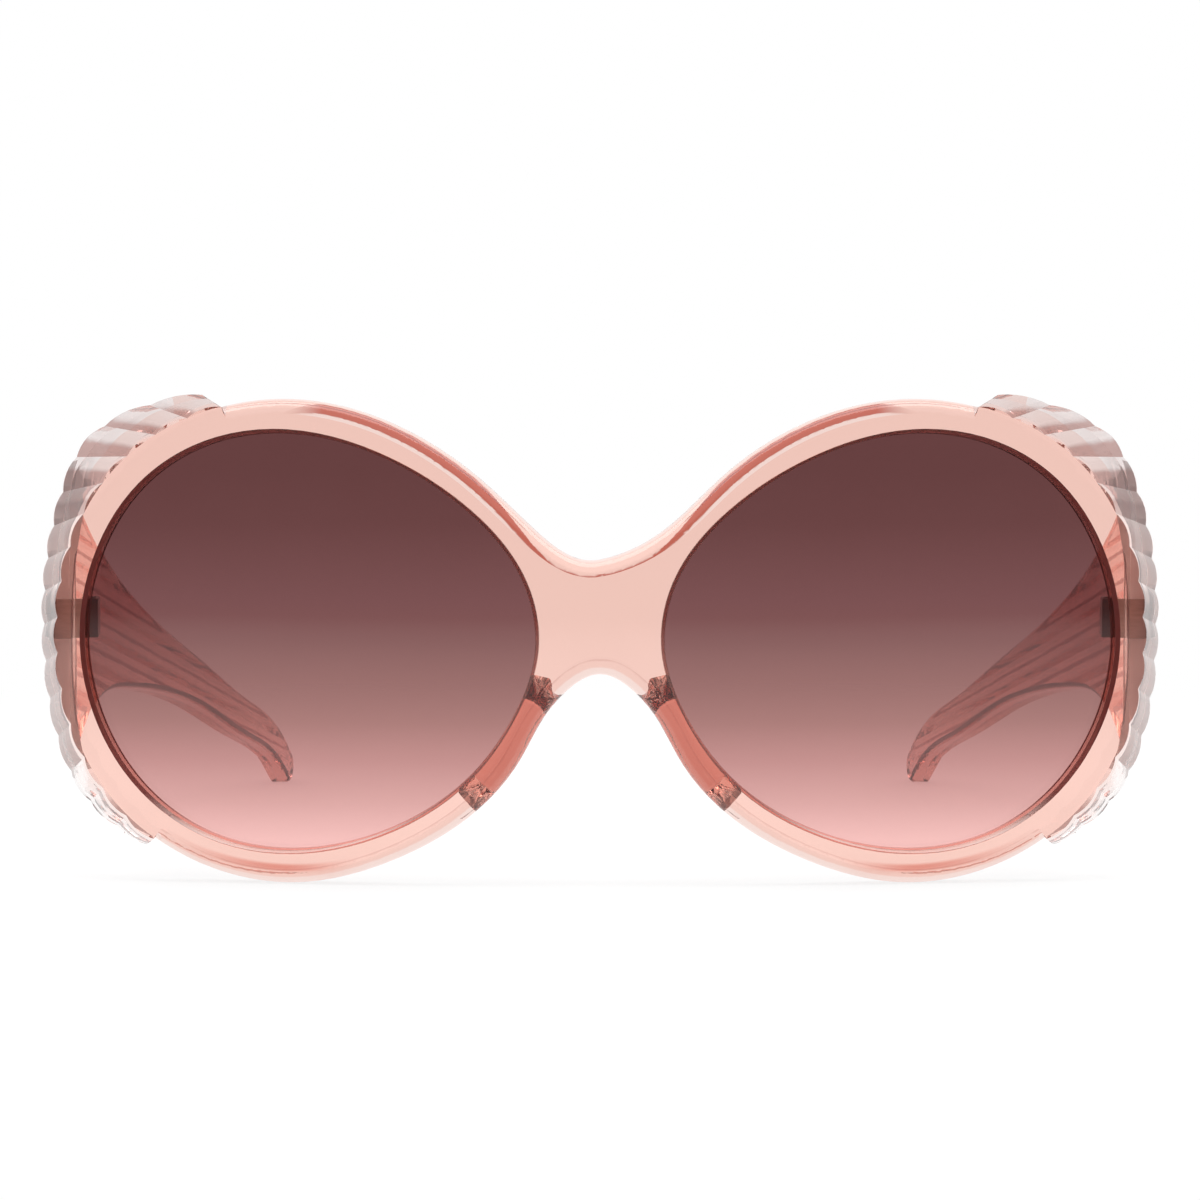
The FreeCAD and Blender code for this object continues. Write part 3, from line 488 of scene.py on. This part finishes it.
joint_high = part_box("right_temple")[0].y
tip_back = cad_box[1].y
along = (backward - joint_high) / (tip_back - joint_high)
lean = normal_up / (JOINT_LEAN + along * (TIP_LEAN - JOINT_LEAN))
fluted = on_temple * start.math("GREATER_THAN", abs(normal_across), OUTER_FACE)
# Painted shade on the lower slopes, and a painted red line of refraction on the upper ones.
stripe_shade = fluted * soft_step(start, lean, -STRIPE_START, -STRIPE_FULL)
refraction_line = fluted * soft_step(start, abs(lean - LINE_MIDDLE), LINE_HALF, LINE_CORE)
print("flutes lean up to", round(math.degrees(math.asin(JOINT_LEAN))), "degrees")

# %% [markdown]
# Clear injection-moulded plastic is pink in its depth. Most of the colour is put in the volume and
# at the broad faces, so that the thin fluted walls stay almost clear, as they do in the
# photograph. The marks that were placed above, most of them painted light and shade, are then laid
# over it one after another, each with a Mix node, and a slow noise makes the clear plastic a little
# cloudy.

# %% Tints of the plastic
FACE_END = math.radians(65)
FACE_FULL = math.radians(50)
FLOW_SCALE = 60.0
FLOW_DETAIL = 3.0
FLOW_DISTORTION = 0.6
CLEAR = (1.0, 0.985, 0.98, 1)
CLOUDY = (0.985, 0.955, 0.945, 1)
FACE_PINK = (0.935, 0.653, 0.579, 1)
CRESCENT_PINK = (0.76, 0.30, 0.235, 1)
# A painted grey reflection of the darker surroundings, then painted shade on the flank's slopes and
# notches.
FLANK_REFLECTED_GREY = (0.64, 0.55, 0.54, 1)
SLOPE_SHADE_BROWN = (0.25, 0.105, 0.09, 1)
NOTCH_SHADE_DARK = (0.30, 0.20, 0.19, 1)
PAD_RED = (0.46, 0.07, 0.045, 1)
TEMPLE_PINK = (0.86, 0.56, 0.50, 1)
# Painted shade on the arm's lower slopes, then a painted red line of refraction on the upper ones.
STRIPE_SHADE_BROWN = (0.06, 0.02, 0.018, 1)
LINE_REFRACTION_RED = (0.22, 0.025, 0.018, 1)
BAND_SALMON = (0.35, 0.035, 0.02, 1)
# Painted shade on the walls of the openings, and painted light where the lower wall faces up.
WALL_SHADE_RED = (0.07, 0.006, 0.004, 1)
LOW_WALL_LIT_PINK = (0.92, 0.64, 0.57, 1)

flow = start.node("ShaderNodeTexNoise", None, {
    "Vector": place, "Scale": FLOW_SCALE, "Detail": FLOW_DETAIL, "Distortion": FLOW_DISTORTION,
})
front_face = in_plate * soft_step(start, turn, FACE_END, FACE_FULL) * (1.0 - flank)
marks = [
    (front_face * (1.0 - highlight_line) * (1.0 - highlight_and_clear_rim), FACE_PINK),
    (crescent, CRESCENT_PINK),
    (upper_flank, FLANK_REFLECTED_GREY),
    (slope_shade, SLOPE_SHADE_BROWN),
    (notch_shade, NOTCH_SHADE_DARK),
    (pads, PAD_RED),
    (on_temple, TEMPLE_PINK),
    (stripe_shade, STRIPE_SHADE_BROWN),
    (refraction_line, LINE_REFRACTION_RED),
    (band, BAND_SALMON),
    (opening_wall, mix_colour(start, lit_low_wall, WALL_SHADE_RED, LOW_WALL_LIT_PINK)),
]
tint = mix_colour(start, flow, CLEAR, CLOUDY)
for mask, colour in marks:
    tint = mix_colour(start, mask, tint, colour)
print("plastic tinted with", len(marks), "marks")

# %% [markdown]
# The moulding is polished, and the mould leaves a faint unevenness in it. The faces at the joint
# with the temples are left as they were cut, so they are matt, and so are the walls of the openings
# except below the lens. A matt shader is mixed in there, while the rest stays fully clear. On the
# walls of the openings the matt shader is a dark red, which is painted shade.

# %% Polished and matt plastic
PLASTIC_IOR = 1.49
POLISH = 0.01
POLISH_SPREAD = 0.03
CUT_ROUGHNESS = 0.5
RIPPLE_SCALE = 250.0
RIPPLE_DETAIL = 2.0
RIPPLE_STRENGTH = 0.03
RIPPLE_DEPTH = 0.0002
GROUND_PINK = (0.95, 0.78, 0.74, 1)
# The dark red of the matt opening walls is painted shade.
WALL_MATT_SHADE = (0.15, 0.016, 0.011, 1)
GROUND_ROUGHNESS = 0.7
MATT_SHARE = 0.7
DEPTH_PINK = (0.84, 0.19, 0.02, 1)
DYE_DENSITY = 30.0

cut_face = start.node("ShaderNodeMath", {"operation": "COMPARE"}, {
    0: backward, 1: (joint_low + joint_high) / 2, 2: joint_high - joint_low,
})
ripple = start.node("ShaderNodeTexNoise", None, {
    "Vector": place, "Scale": RIPPLE_SCALE, "Detail": RIPPLE_DETAIL,
})
polished = start.node("ShaderNodeBsdfPrincipled", None, {
    "Base Color": tint,
    "Roughness": POLISH + flow * POLISH_SPREAD + cut_face * CUT_ROUGHNESS,
    "IOR": PLASTIC_IOR,
    "Transmission Weight": 1.0,
    "Normal": start.node("ShaderNodeBump", None, {
        "Strength": RIPPLE_STRENGTH, "Distance": RIPPLE_DEPTH, "Height": ripple,
    }),
})
cut_pink = mix_colour(start, ripple, GROUND_PINK, CLEAR)
ground = start.node("ShaderNodeBsdfPrincipled", None, {
    "Base Color": mix_colour(start, opening_wall, cut_pink, WALL_MATT_SHADE),
    "Roughness": GROUND_ROUGHNESS,
})
matt = start.math("MAXIMUM", cut_face, opening_wall * (1.0 - lit_low_wall)) * MATT_SHARE
shader = start.node("ShaderNodeMixShader", None, {0: matt, 1: polished, 2: ground})
dyed_depth = start.node(
    "ShaderNodeVolumeAbsorption", None, {"Color": DEPTH_PINK, "Density": DYE_DENSITY}
)
finish_material(start, shader, dyed_depth)
print("plastic of index", PLASTIC_IOR, "with", len(start.tree.nodes), "nodes")

# %% [markdown]
# The lens is tinted in a dye bath, so its colour fades from plum-brown at the brow to pink at the
# cheek. Two colours and one Mix node would fade too evenly, so a ramp along the object's height
# gives the fade, and a little noise keeps it from being perfectly even.

# %% Graded lens
LENS_IOR = 1.5
LENS_ROUGHNESS = 0.01
DYE_SCALE = 90.0
DYE_DETAIL = 2.0
DYE_SHARE = 0.02
DYE_PINK = (0.6, 0.3, 0.3, 1)
LENS_FADE = [
    (0.03, (0.88, 0.50, 0.475, 1)),
    (0.12, (0.67, 0.355, 0.335, 1)),
    (0.22, (0.505, 0.24, 0.228, 1)),
    (0.31, (0.375, 0.17, 0.157, 1)),
    (0.41, (0.295, 0.125, 0.117, 1)),
    (0.50, (0.232, 0.093, 0.09, 1)),
    (0.60, (0.20, 0.077, 0.079, 1)),
    (0.78, (0.143, 0.049, 0.049, 1)),
    (0.90, (0.13, 0.043, 0.043, 1)),
]

lens_tint, start = new_material("graded_lens")
place = start.node("ShaderNodeTexCoord", output="Object")
height = start.node("ShaderNodeSeparateXYZ", None, {"Vector": place}, output="Z")
height_share = (height - lens_low.z) / (lens_high.z - lens_low.z)
fade = start.node("ShaderNodeValToRGB", {"stops": LENS_FADE}, {"Fac": height_share})
dye = start.node("ShaderNodeTexNoise", None, {
    "Vector": place, "Scale": DYE_SCALE, "Detail": DYE_DETAIL,
})
shader = start.node("ShaderNodeBsdfPrincipled", None, {
    "Base Color": mix_colour(start, dye * DYE_SHARE, fade, DYE_PINK),
    "Roughness": dye * LENS_ROUGHNESS,
    "IOR": LENS_IOR,
    "Transmission Weight": 1.0,
})
finish_material(start, shader)
print("lens of index", LENS_IOR, "fades over", len(LENS_FADE), "stops")

# %% [markdown]
# The hinge leaves are small stamped and plated pieces, darker and rougher than the screws. Metal
# of one flat colour looks like paint, so a stretched noise gives each of them a fine grain that
# varies its colour, its roughness and its surface together.

# %% Hinge metals
GRAIN_STRETCH = (400, 400, 2500)
GRAIN_SCALE = 1.0
GRAIN_DETAIL = 4.0
GRAIN_ROUGHNESS = 0.2
GRAIN_STRENGTH = 0.2
GRAIN_DEPTH = 0.00003
LEAF_ROSE = (0.60, 0.42, 0.37, 1)
LEAF_DARK = (0.36, 0.25, 0.22, 1)
LEAF_ROUGHNESS = 0.3
SCREW_GREY = (0.72, 0.70, 0.67, 1)
SCREW_DARK = (0.52, 0.50, 0.47, 1)
SCREW_ROUGHNESS = 0.22


def metal(name, colour, dark_colour, roughness):
    """A plated metal with a fine grain between two colours."""
    material, start = new_material(name)
    place = start.node("ShaderNodeTexCoord", output="Object")
    stretched = start.node("ShaderNodeMapping", None, {"Vector": place, "Scale": GRAIN_STRETCH})
    grain = start.node("ShaderNodeTexNoise", None, {
        "Vector": stretched, "Scale": GRAIN_SCALE, "Detail": GRAIN_DETAIL,
    })
    shader = start.node("ShaderNodeBsdfPrincipled", None, {
        "Base Color": mix_colour(start, grain, dark_colour, colour),
        "Metallic": 1.0,
        "Roughness": roughness + grain * GRAIN_ROUGHNESS,
        "Normal": start.node("ShaderNodeBump", None, {
            "Strength": GRAIN_STRENGTH, "Distance": GRAIN_DEPTH, "Height": grain,
        }),
    })
    finish_material(start, shader)
    return material


hinge_metal = metal("hinge_metal", LEAF_ROSE, LEAF_DARK, LEAF_ROUGHNESS)
screw_metal = metal("screw_metal", SCREW_GREY, SCREW_DARK, SCREW_ROUGHNESS)
print("metals:", hinge_metal.name, "and", screw_metal.name)

# %% [markdown]
# The pieces keep their exact CAD shapes, so all that is left to do is to put each finish in the
# material slot of its piece. That could be done one piece at a time by hand. The hinge pieces have
# names that say what they are, so a loop finds theirs.

# %% Give each piece its finish
finishes = {
    "front_frame": plastic,
    "right_temple": plastic,
    "left_temple": plastic,
    "right_lens": lens_tint,
    "left_lens": lens_tint,
}
for name, node in nodes.items():
    if "leaf" in name:
        finishes[name] = hinge_metal
    if "screw" in name:
        finishes[name] = screw_metal
    node.data.materials.clear()
    node.data.materials.append(finishes[name])
print("finished", len(finishes), "pieces")

# %% [markdown]
# Light has to pass many walls of clear plastic before it reaches the camera, and a path that runs
# out of bounces in there comes out black, so the paths may be long. The view transform is the plain
# one, so that colours come out about as they are written.

# %% Render settings
CLEAR_BOUNCES = 32
GLOSSY_BOUNCES = 16
DIFFUSE_BOUNCES = 4
TRANSPARENT_BOUNCES = 16

scene.cycles.max_bounces = CLEAR_BOUNCES
scene.cycles.transmission_bounces = CLEAR_BOUNCES
scene.cycles.glossy_bounces = GLOSSY_BOUNCES
scene.cycles.diffuse_bounces = DIFFUSE_BOUNCES
scene.cycles.transparent_max_bounces = TRANSPARENT_BOUNCES
scene.cycles.use_denoising = True
scene.view_settings.view_transform = "Standard"
print("light may bounce", CLEAR_BOUNCES, "times")

# %% [markdown]
# Looks never change the size of the object. To show that, the box of the CAD model, which was
# measured at the start, and the box of the dressed model are written next to each other.

# %% Write the two boxes and close
visual_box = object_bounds()
visual_sides = [round(length * MM_PER_METRE, 1) for length in visual_box[1] - visual_box[0]]
print("size of the dressed model in mm:", visual_sides)
